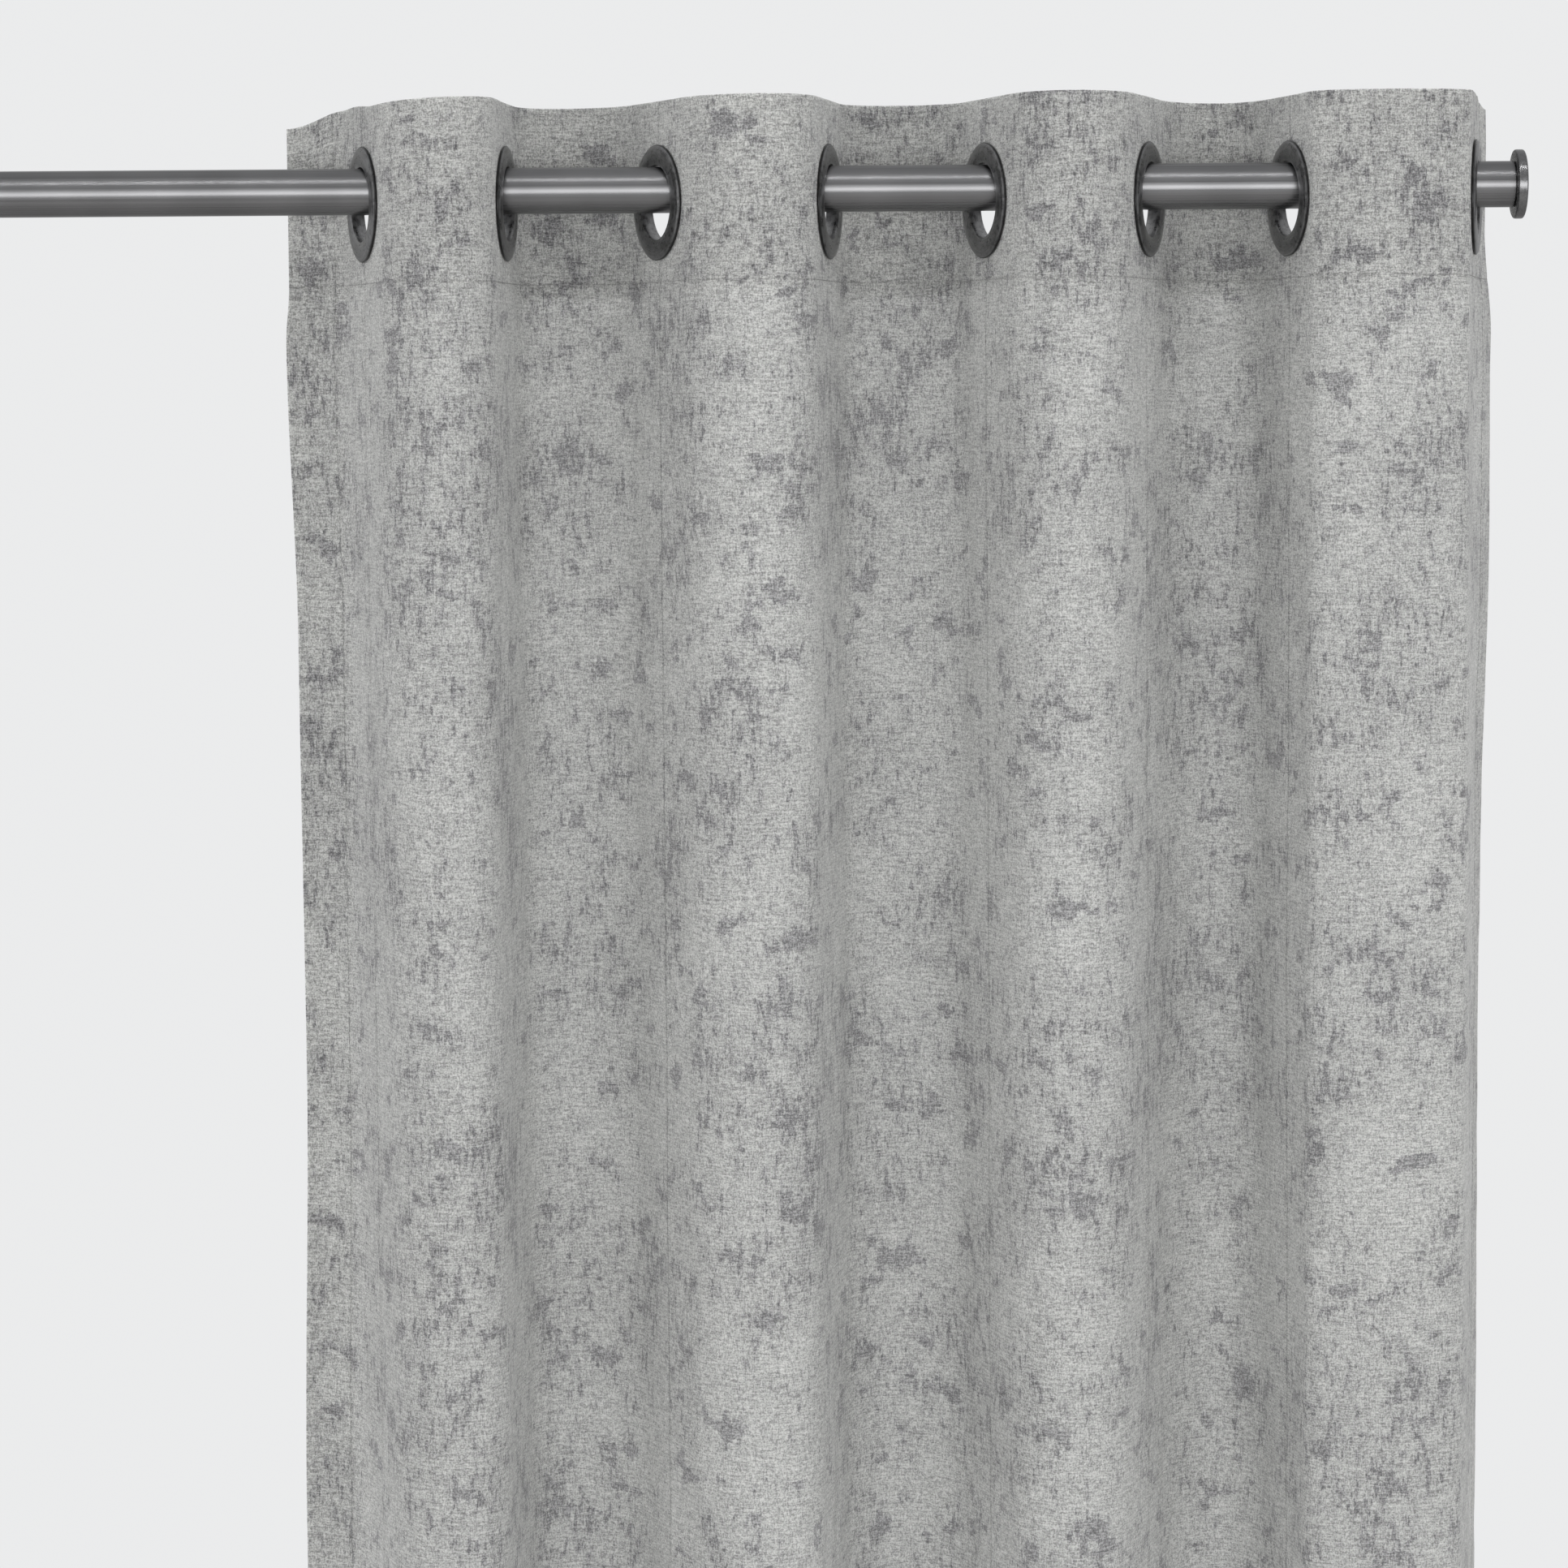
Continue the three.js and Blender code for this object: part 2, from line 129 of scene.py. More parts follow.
view = {
    "distance": 2.5,  # from the rod
    "eyeBelowTop": 0.164,
    "tiltDown": 4.9,
    "roll": -0.4,
    "lens": 103.1,
    "centreFromRodEnd": 0.405,  # the view's middle, to the left of the rod's right end
    "sensorWidth": 36,
    "farthest": 60,
}


def addCamera():
    data = bpy.data.cameras.new("camera")
    data.lens = view["lens"]
    data.sensor_width = view["sensorWidth"]
    data.clip_end = view["farthest"]
    camera = bpy.data.objects.new("camera", data)
    bpy.context.scene.collection.objects.link(camera)
    eyeX = rodHigh.x - view["centreFromRodEnd"]
    place = Vector((eyeX, rodCentre.y - view["distance"], topZ - view["eyeBelowTop"]))
    turn = Matrix.Rotation(math.radians(90 - view["tiltDown"]), 4, "X")
    roll = Matrix.Rotation(math.radians(view["roll"]), 4, "Z")
    camera.matrix_world = Matrix.Translation(place) @ turn @ roll
    bpy.context.scene.camera = camera


light = {
    "worldColor": (0.83, 0.835, 0.84),
    "worldStrength": 0.62,
    "backdropStrength": 1.0,
    "keyPower": 78,
    "keyPlace": (0, -3.6, 0.1),
    "keySize": (5.6, 1.1),
    "sidePower": 19,
    "sidePlace": (3.1, -2.7, 0.1),
    "sideSize": (1.9, 1.2),
    "stripPower": 15,
    "stripPlace": (0, -1.25, 2.1),
    "stripSize": (4.0, 0.05),
    # what the lamps stand round: how far from the rod's middle along it and behind it, and its height
    "middle": (0.1, 0, -0.4),
    "floorSize": 9,
    "floorGap": 0.012,
    "floorColor": (0.62, 0.61, 0.6, 1),
    "floorRoughness": 0.6,
}


def addAreaLight(name, place, target, size, power):
    data = bpy.data.lights.new(name, "AREA")
    data.shape = "RECTANGLE"
    data.size, data.size_y = size
    data.energy = power
    lamp = bpy.data.objects.new(name, data)
    bpy.context.scene.collection.objects.link(lamp)
    lamp.location = place
    lamp.rotation_euler = (Vector(target) - Vector(place)).to_track_quat("-Z", "Y").to_euler()


def addStage():
    world = bpy.data.worlds.new("studio")
    world.use_nodes = True
    nodes = Nodes(world.node_tree)
    background = world.node_tree.nodes["Background"]
    background.inputs["Color"].default_value = (*light["worldColor"], 1)
    seen = nodes.add("ShaderNodeLightPath").outputs["Is Camera Ray"]
    strength = nodes.ramp(seen, 0, 1, light["worldStrength"], light["backdropStrength"])
    nodes.feed(background, "Strength", strength)
    bpy.context.scene.world = world
    acrossMiddle, depthMiddle, middleHeight = light["middle"]
    middle = Vector((rodCentre.x + acrossMiddle, rodCentre.y + depthMiddle, middleHeight))
    addAreaLight("key", Vector(light["keyPlace"]) + middle, middle, light["keySize"], light["keyPower"])
    for name, side in (("leftFill", -1), ("rightFill", 1)):
        place = Vector(light["sidePlace"]) * Vector((side, 1, 1)) + middle
        addAreaLight(name, place, middle, light["sideSize"], light["sidePower"])
    place = Vector(light["stripPlace"]) + middle
    addAreaLight("strip", place, rodCentre, light["stripSize"], light["stripPower"])
    floorZ = panelLow.z - light["floorGap"]
    bpy.ops.mesh.primitive_plane_add(size=light["floorSize"], location=(middle.x, 0, floorZ))
    floor = bpy.context.object
    floor.name = "floor"
    material = bpy.data.materials.new("paleFloor")
    material.use_nodes = True
    shader = material.node_tree.nodes["Principled BSDF"]
    shader.inputs["Base Color"].default_value = light["floorColor"]
    shader.inputs["Roughness"].default_value = light["floorRoughness"]
    floor.data.materials.append(material)
    bpy.context.scene.view_settings.view_transform = "Standard"
    print("camera, lights and floor")


# One material's or tree's nodes, with short calls to add and join them
class Nodes:
    def __init__(self, tree):
        self.tree = tree

    def add(self, kind, settings=None, **inputs):
        node = self.tree.nodes.new(kind)
        for name, value in (settings or {}).items():
            setattr(node, name, value)
        for name, value in inputs.items():
            self.feed(node, name.replace("_", " "), value)
        return node

    def feed(self, node, socket, value):
        target = node.inputs[socket]
        if isinstance(value, bpy.types.NodeSocket):
            self.tree.links.new(value, target)
        else:
            target.default_value = value

    def maths(self, operation, first, second=0.0):
        node = self.add("ShaderNodeMath", {"operation": operation})
        self.feed(node, 0, first)
        self.feed(node, 1, second)
        return node.outputs[0]

    def ramp(self, value, low, high, toLow=0.0, toHigh=1.0):
        node = self.add("ShaderNodeMapRange", {"interpolation_type": "SMOOTHSTEP"})
        for socket, given in enumerate((value, low, high, toLow, toHigh)):
            self.feed(node, socket, given)
        return node.outputs[0]

    def noise(self, place, scales, detail=2.0, roughness=0.5, seed=0.0):
        spread = self.add("ShaderNodeMapping", {"vector_type": "POINT"})
        self.feed(spread, "Vector", place)
        spread.inputs["Scale"].default_value = scales
        spread.inputs["Location"].default_value = (seed, seed * 0.7, seed * 0.3)
        texture = self.add("ShaderNodeTexNoise", {"noise_dimensions": "3D"})
        self.feed(texture, "Vector", spread.outputs[0])
        texture.inputs["Scale"].default_value = 1.0
        texture.inputs["Detail"].default_value = detail
        texture.inputs["Roughness"].default_value = roughness
        return texture.outputs[0]

    def mixColor(self, share, first, second, blend="MIX"):
        node = self.add("ShaderNodeMix", {"data_type": "RGBA", "blend_type": blend})
        self.feed(node, 0, share)
        self.feed(node, 6, first)
        self.feed(node, 7, second)
        return node.outputs[2]

    # A colour, lighter and darker by a grey shade
    def tinted(self, color, shade):
        tint = self.add("ShaderNodeCombineColor")
        for channel in range(3):
            self.feed(tint, channel, shade)
        return self.mixColor(1.0, color, tint.outputs[0], "MULTIPLY")

    # A bump of a height in metres, from a value of 0 to 1
    def bump(self, shader, height, strength, distance):
        node = self.add("ShaderNodeBump")
        node.inputs["Strength"].default_value = strength
        node.inputs["Distance"].default_value = distance
        self.feed(node, "Height", height)
        self.feed(shader, "Normal", node.outputs[0])

    # The sum of values by their shares, in their order
    def weigh(self, values, shares):
        total = None
        for kind, share in shares.items():
            part = values[kind] if share == 1 else self.maths("MULTIPLY", values[kind], share)
            total = part if total is None else self.maths("ADD", total, part)
        return total


def newMaterial(name):
    material = bpy.data.materials.new(name)
    material.use_nodes = True
    nodes = Nodes(material.node_tree)
    shader = material.node_tree.nodes["Principled BSDF"]
    return material, nodes, shader


weave = {
    "light": (0.400, 0.402, 0.391, 1),
    "dark": (0.158, 0.156, 0.164, 1),
    "reverse": (0.42, 0.42, 0.405, 1),
    "printOnReverse": 0.35,
    "seeThrough": 0.0048,  # how far light scatters in the thread
    "roughness": 0.92,
    "gloss": 0.25,
    "sheen": 0.12,
    "sheenRoughness": 0.5,
    "bumpStrength": 0.35,
    "bumpDistance": 0.0004,
    # each noise's marks to a metre across and down, its detail, roughness and seed
    "noises": {
        "weft": ((90, 800, 1), 2.0, 0.6, 3.0),
        "weftFine": ((400, 1300, 1), 1.0, 0.5, 9.0),
        "warpFine": ((1200, 320, 1), 2.0, 0.6, 17.0),
        "tick": ((430, 115, 1), 2.0, 0.55, 5.0),
        "warp": ((190, 85, 1), 2.0, 0.6, 29.0),
        "dash": ((100, 380, 1), 2.0, 0.6, 13.0),
        "grain": ((1250, 1250, 1), 1.0, 0.5, 1.0),
        "cluster": ((42, 56, 1), 2.0, 0.58, 11.0),
        "cloud": ((13, 10, 1), 2.0, 0.55, 21.0),
    },
    "crowdFrom": {"cluster": 0.55, "cloud": 0.45},
    "ticksFrom": {"tick": 0.56, "warp": 0.26, "dash": 0.10, "crowd": 0.62},
    "heartsFrom": {"cluster": 1, "tick": 0.24, "dash": 0.12},
    "threadFrom": {"weft": 0.22, "weftFine": 0.18, "warpFine": 0.28, "grain": 0.32},
    # the values at which each kind of mark starts and is full, and how dark it is
    "mottle": (0.66, 0.90, 0.42),
    "ticks": (0.835, 0.87, 0.88),
    "hearts": (0.795, 0.83, 0.80),
    "printOnThread": (0.42, 0.60, 1.0, 0.62),
    "threadShade": (0.36, 0.64, 0.52, 1.48),
    "cloudShade": (0.30, 0.70, 1.05, 0.95),
    "warpInBump": 0.3,
}


def clothMaterial(name, isReverse):
    material, nodes, shader = newMaterial(name)
    place = nodes.add("ShaderNodeUVMap").outputs[0]
    noise = {kind: nodes.noise(place, *settings) for kind, settings in weave["noises"].items()}
    # upright ticks are thick where the clusters are, and ragged smudges lie at the clusters' hearts
    noise["crowd"] = nodes.weigh(noise, weave["crowdFrom"])
    marks = nodes.weigh(noise, weave["ticksFrom"])
    hearts = nodes.weigh(noise, weave["heartsFrom"])
    layers = []
    for kind, value in (("ticks", marks), ("hearts", hearts), ("mottle", marks)):
        start, full, darkness = weave[kind]
        layers.append(nodes.maths("MULTIPLY", nodes.ramp(value, start, full), darkness))
    printed = nodes.maths("MAXIMUM", layers[0], layers[1])
    printed = nodes.maths("MAXIMUM", printed, layers[2])
    thread = nodes.weigh(noise, weave["threadFrom"])
    printed = nodes.maths("MULTIPLY", printed, nodes.ramp(thread, *weave["printOnThread"]))
    if isReverse:
        printed = nodes.maths("MULTIPLY", printed, weave["printOnReverse"])
    ground = weave["reverse"] if isReverse else weave["light"]
    base = nodes.mixColor(printed, ground, weave["dark"])
    shade = nodes.ramp(thread, *weave["threadShade"])
    shade = nodes.maths("MULTIPLY", shade, nodes.ramp(noise["cloud"], *weave["cloudShade"]))
    nodes.feed(shader, "Base Color", nodes.tinted(base, shade))
    shader.inputs["Roughness"].default_value = weave["roughness"]
    shader.inputs["Specular IOR Level"].default_value = weave["gloss"]
    shader.inputs["Subsurface Weight"].default_value = 1.0
    shader.inputs["Subsurface Radius"].default_value = (1.0, 1.0, 1.0)
    shader.inputs["Subsurface Scale"].default_value = weave["seeThrough"]
    shader.inputs["Sheen Weight"].default_value = weave["sheen"]
    shader.inputs["Sheen Roughness"].default_value = weave["sheenRoughness"]
    height = nodes.maths("ADD", thread, nodes.maths("MULTIPLY", noise["warp"], weave["warpInBump"]))
    nodes.bump(shader, height, weave["bumpStrength"], weave["bumpDistance"])
    return material


# The direction along the cloth at a grommet, seen from above
def headingOf(number):
    sign = -1 if number % 2 == 1 else 1
    angle = sign * math.radians(panel["crossings"][number - 1])
    return np.array([math.cos(angle), math.sin(angle)])


# A fold of a set length that leaves and meets its strips smoothly: halving finds the handles
def bezierFold(start, startHeading, end, endHeading, length):
    shares = np.linspace(0, 1, panel["foldPoints"])[:, None]
    low, high = 0.0, 2 * length
    for halving in range(panel["foldHalvings"]):
        handle = (low + high) / 2
        first, second = start + handle * startHeading, end - handle * endHeading
        line = (1 - shares) ** 3 * start + 3 * (1 - shares) ** 2 * shares * first
        line = line + 3 * (1 - shares) * shares**2 * second + shares**3 * end
        if np.linalg.norm(np.diff(line, axis=0), axis=1).sum() < length:
            low = handle
        else:
            high = handle
    return line


# The loose cloth past an end grommet, turning evenly
def turningEdge(start, heading, turn, length):
    steps = panel["edgePoints"]
    angle = math.atan2(heading[1], heading[0])
    angles = angle + math.radians(turn) * (np.arange(steps) + 0.5) / steps
    moves = np.stack([np.cos(angles), np.sin(angles)], axis=1) * length / steps
    return start + np.cumsum(moves, axis=0)


# The panel's middle line seen from above: distances along the cloth, and their points
def planLine():
    centres = [np.array([centre.x, centre.y]) for centre in grommetCentres]
    first, last = headingOf(1), headingOf(grommetCount)
    edgeLength = panel["edgeMargin"] - flatHalf
    leftStart = centres[0] - flatHalf * first
    rightStart = centres[-1] + flatHalf * last
    pieces = [turningEdge(leftStart, -first, panel["leftEdgeTurn"], edgeLength)[::-1]]
    for number in range(1, grommetCount + 1):
        centre, heading = centres[number - 1], headingOf(number)
        ends = np.linspace(-flatHalf, flatHalf, panel["stripPoints"])[:, None]
        pieces.append(centre + ends * heading)
        if number < grommetCount:
            nextHeading = headingOf(number + 1)
            start = centre + flatHalf * heading
            end = centres[number] - flatHalf * nextHeading
            foldLength = panel["grommetSpacing"] - 2 * flatHalf
            pieces.append(bezierFold(start, heading, end, nextHeading, foldLength)[1:-1])
    pieces.append(turningEdge(rightStart, last, panel["rightEdgeTurn"], edgeLength))
    points = np.concatenate(pieces)
    steps = np.linalg.norm(np.diff(points, axis=0), axis=1)
    places = np.concatenate([[0], np.cumsum(steps)])
    return places * clothWidth / places[-1], points


# Even steps over a length that land on every exact place, with close rows round the fine ones
def samplePlaces(length, step, exact, fine=()):
    stops = sorted({0.0, length, *exact})
    places = []
    for start, end in zip(stops, stops[1:]):
        count = max(1, round((end - start) / step))
        places.extend(np.linspace(start, end, count, endpoint=False))
    places.append(length)
    for place in fine:
        places.extend(place + offset for offset in panel["closeRows"])
    return np.array(sorted(places))


# Smooth noise from -1 to 1 over the cloth, in cells of (width, height)
def valueNoise(across, down, cell, seed):
    random = np.random.default_rng(seed)
    size = hang["noiseTable"]
    table = random.uniform(-1, 1, (size, size))
    x, y = across / cell[0], down / cell[1]
    column, row = np.floor(x).astype(int), np.floor(y).astype(int)
    fx, fy = x - column, y - row
    fx, fy = fx * fx * (3 - 2 * fx), fy * fy * (3 - 2 * fy)
    column, row = column % (size - 1), row % (size - 1)
    top = table[column, row] * (1 - fx) + table[column + 1, row] * fx
    bottom = table[column, row + 1] * (1 - fx) + table[column + 1, row + 1] * fx
    return top * (1 - fy) + bottom * fy


hang = {
    # how far right the side edges stand, at heights down the cloth
    "leftDrift": [
        (0, -0.0034),
        (0.1, -0.0034),
        (0.13, -0.0055),
        (0.3, -0.0013),
        (0.55, -0.0006),
        (0.8, -0.0047),
    ],
    "rightDrift": [(0.07, 0), (0.13, 0.0045), (0.22, 0.0042), (0.4, 0), (0.56, -0.0005)],
    # how far the top edge sinks, at places across it
    "topDroop": [
        (0, 0.0105),
        (0.035, 0.0018),
        (0.06, 0.0008),
        (0.105, 0.0028),
        (0.2, 0),
        (1.24, -0.001),
        (1.29, 0.003),
    ],
    "droopReach": 0.09,  # how far down the cloth the sinking reaches
    "looseFrom": (0.10, 0.75),  # the folds may wander below the first height, and fully below the second
    "crestWander": 0.0045,
    "wanderCell": (0.162, 0.62),
    "wanderSeed": 4,
    "depthBelow": 0.97,  # how deep the folds stay below the header, as a share
    "depthFrom": (0.09, 0.32),
    "depthChange": 0.05,
    "depthCell": (0.162, 0.75),
    "depthSeed": 8,
    "ripple": 0.0009,
    "rippleCell": (0.034, 0.17),
    "rippleSeed": 15,
    "crumple": 0.00035,
    "crumpleCell": (0.012, 0.021),
    "crumpleSeed": 23,
    "calmRound": 2.2,  # the ripples are full this many flange radii from a grommet
    "stitchSink": 0.00025,
    "stitchReach": 0.0016,
    "noiseTable": 400,
}


# The cloth's middle surface, as positions on the grid of places across and down
def clothSurface(across, down):
    places, points = planLine()
    u, v = np.meshgrid(across, down, indexing="ij")
    x = np.interp(u, places, points[:, 0])
    y = np.interp(u, places, points[:, 1])
    z = topZ - v
    loose = smooth(*hang["looseFrom"], v)
    # between two grommets a fold may lean and change its depth as it falls, and at a grommet it may not
    inFold = np.sin(np.pi * (u - panel["edgeMargin"]) / panel["grommetSpacing"]) ** 2
    inside = (u > seamPlaces[0]) & (u < seamPlaces[-1])
    inFold = np.where(inside, inFold, 0)
    wander = valueNoise(u, v, hang["wanderCell"], hang["wanderSeed"])
    x = x + hang["crestWander"] * loose * inFold * wander
    change = valueNoise(u, v, hang["depthCell"], hang["depthSeed"])
    depth = 1 - (1 - hang["depthBelow"]) * smooth(*hang["depthFrom"], v)
    depth = depth * (1 + hang["depthChange"] * loose * change)
    y = rodCentre.y + (y - rodCentre.y) * depth
    leftLoose = smooth(seamPlaces[0], 0, u)
    rightLoose = smooth(seamPlaces[-1], clothWidth, u)
    x = x + glide(v, hang["leftDrift"]) * leftLoose + glide(v, hang["rightDrift"]) * rightLoose
    z = z - glide(u, hang["topDroop"]) * smooth(hang["droopReach"], 0, v)
    return np.stack([x, y, z], axis=-1), u, v


def surfaceNormals(points):
    acrossStep = np.gradient(points, axis=0)
    downStep = np.gradient(points, axis=1)
    normals = np.cross(downStep, acrossStep)
    normals = normals / np.linalg.norm(normals, axis=-1, keepdims=True)
    return normals


# The cloth's front and back faces, with their normals
def layersOf(across, down):
    middle, u, v = clothSurface(across, down)
    toFront = surfaceNormals(middle)
    if toFront[len(across) // 2, 0, 1] > 0:
        toFront = -toFront
    nearGrommet = np.min([np.hypot(u - place, v - grommetDown) for place in seamPlaces], axis=0)
    free = smooth(flangeRadius, hang["calmRound"] * flangeRadius, nearGrommet)
    ripple = hang["ripple"] * valueNoise(u, v, hang["rippleCell"], hang["rippleSeed"])
    crumple = valueNoise(u, v, hang["crumpleCell"], hang["crumpleSeed"])
    ripple = ripple + hang["crumple"] * crumple
    stitched = np.zeros(u.shape)
    for gapToRow in [v - row for row in stitchRows] + [u - column for column in stitchColumns]:
        stitched = np.maximum(stitched, np.exp(-((gapToRow / hang["stitchReach"]) ** 2)))
    face = panel["front"] + free * ripple - hang["stitchSink"] * stitched
    step = panel["hemStep"]
    inHeader = smooth(panel["headerHem"] + step, panel["headerHem"] - step, v)
    hemmed = smooth(-step, step, v - panel["drop"] + panel["bottomHem"])
    fromSide = np.minimum(u, clothWidth - u)
    hemmed = np.maximum(hemmed, smooth(panel["sideHem"] + step, panel["sideHem"] - step, fromSide))
    depth = panel["thickness"] + (panel["hemThickness"] - panel["thickness"]) * hemmed
    depth = depth + (2 * panel["front"] - depth) * inHeader
    frontFace = middle + toFront * face[..., None]
    backFace = middle + toFront * (face - depth)[..., None]
    return frontFace, backFace, surfaceNormals(frontFace), -surfaceNormals(backFace), u, v


# One stretch of the cloth as a closed shell: a front face, a back face and the edges between
def makeGridPiece(name, columns, layers, materials, holes):
    frontFace, backFace, frontNormals, backNormals, u, v = layers
    cut = slice(columns[0], columns[1] + 1)
    front, back = frontFace[cut], backFace[cut]
    wide, tall = front.shape[:2]
    count = wide * tall
    index = np.arange(count).reshape(wide, tall)
    vertices = np.concatenate([front.reshape(-1, 3), back.reshape(-1, 3)])
    normals = np.concatenate([frontNormals[cut].reshape(-1, 3), backNormals[cut].reshape(-1, 3)])
    uv = np.stack([u[cut], v[cut]], axis=-1).reshape(-1, 2)
    uv = np.concatenate([uv, uv])
    quads = np.stack([index[:-1, :-1], index[:-1, 1:], index[1:, 1:], index[1:, :-1]], axis=-1)
    middleU = (u[cut][:-1, :-1] + u[cut][1:, 1:]) / 2
    middleV = (v[cut][:-1, :-1] + v[cut][1:, 1:]) / 2
    keep = np.ones(middleU.shape, bool)
    for holeU, holeV, radius in holes:
        keep &= np.hypot(middleU - holeU, middleV - holeV) > radius
    frontQuads = quads[keep]
    backQuads = frontQuads[:, ::-1] + count
    # walls stand on every edge that only one kept face uses
    edges = np.concatenate([frontQuads[:, [side, (side + 1) % 4]] for side in range(4)])
    known = dict.fromkeys(map(tuple, edges))
    walls = np.array([(b, a, a + count, b + count) for a, b in known if (b, a) not in known])
    faces = np.concatenate([frontQuads, backQuads, walls])
    used = np.unique(faces)
    renumber = np.full(2 * count, -1)
    renumber[used] = np.arange(len(used))
    faces = renumber[faces]
    mesh = bpy.data.meshes.new(name)
    mesh.from_pydata(vertices[used].tolist(), [], faces.tolist())
    mesh.polygons.foreach_set("use_smooth", [True] * len(faces))
    slots = np.zeros(len(faces), int)
    slots[len(frontQuads) : len(frontQuads) + len(backQuads)] = 1
    mesh.polygons.foreach_set("material_index", slots)
    layer = mesh.uv_layers.new(name="cloth")
    layer.data.foreach_set("uv", uv[used][faces.ravel()].ravel())
    for material in materials:
        mesh.materials.append(material)
    mesh.update()
    loopNormals = normals[used][faces.ravel()].reshape(-1, 4, 3)
    loopNormals[len(frontQuads) + len(backQuads) :] = 0  # walls keep their own normals
    mesh.normals_split_custom_set(loopNormals.reshape(-1, 3).tolist())
    piece = bpy.data.objects.new(name, mesh)
    bpy.context.scene.collection.objects.link(piece)
    return piece


# The grommets to the left and right of a stretch, if it has them
def neighbours(number):
    return number or None, number + 1 if number < grommetCount else None


# Joins a piece to its grommet when it has only one; a piece between two grommets is baked in place
def fasten(piece, left, right):
    if left is None or right is None:
        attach(piece, bodyOf[right or left])
        return
    start, end = grommetCentres[left - 1].copy(), grommetCentres[right - 1].copy()
    start.x += panel["bendInset"]
    end.x -= panel["bendInset"]
    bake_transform(piece)


def buildCloth():
    across = samplePlaces(clothWidth, panel["columnStep"], seamPlaces, stitchColumns)
    headerRows = samplePlaces(panel["headerHem"], panel["headerRowStep"], [])
    lowerRows = samplePlaces(panel["drop"], panel["rowStep"], [panel["headerHem"]], stitchRows)
    lowerRows = [row for row in lowerRows if row > panel["headerHem"] - panel["rowsPastHeader"]]
    down = np.array(sorted({*headerRows, *lowerRows}))
    down = down[np.concatenate([[True], np.diff(down) > panel["closestRows"]])]
    layers = layersOf(across, down)
    face, reverse = clothMaterial("clothFace", False), clothMaterial("clothReverse", True)
    seamColumns = [int(np.argmin(abs(across - place))) for place in seamPlaces]
    bounds = [0, *seamColumns, len(across) - 1]
    holes = [(place, grommetDown, flangeRadius - panel["holeInset"]) for place in seamPlaces]
    for number in range(grommetCount + 1):
        left, right = neighbours(number)
        columns = (bounds[number], bounds[number + 1])
        piece = makeGridPiece(f"drape_{number}", columns, layers, (face, reverse), holes)
        fasten(piece, left, right)
        nodes = [f"{kind}_{right}" for kind in ("cloth", "tape") if right]
        if left and right:
            nodes += [f"fold_{left}", f"fold_tape_{left}"]
        if nodes:
            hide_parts(*nodes)
    print("cloth", len(across), "by", len(down))
    return layers, across, down


# Values of a grid on the cloth at any places between its points
def onGrid(grid, across, down, u, v):
    column = np.clip(np.searchsorted(across, u) - 1, 0, len(across) - 2)
    row = np.clip(np.searchsorted(down, v) - 1, 0, len(down) - 2)
    right = ((u - across[column]) / (across[column + 1] - across[column]))[..., None]
    below = ((v - down[row]) / (down[row + 1] - down[row]))[..., None]
    upper = grid[column, row] * (1 - right) + grid[column + 1, row] * right
    lower = grid[column, row + 1] * (1 - right) + grid[column + 1, row + 1] * right
    return upper * (1 - below) + lower * below


thread = {
    "pitch": 0.0034,
    "stitchLength": 0.0027,
    "radius": 0.00021,
    "lift": 0.00008,
    "lengthFrom": 0.86,  # the shortest and the longest stitch, as shares of the length
    "lengthTo": 1.08,
    "segments": 8,
    "rings": 6,
    "seed": 6,
    "color": (0.30, 0.30, 0.295, 1),
    "twist": ((1600, 1600, 1600), 1.0),
    "twistShade": (0.3, 0.7, 0.75, 1.2),
    "roughness": 0.7,
}


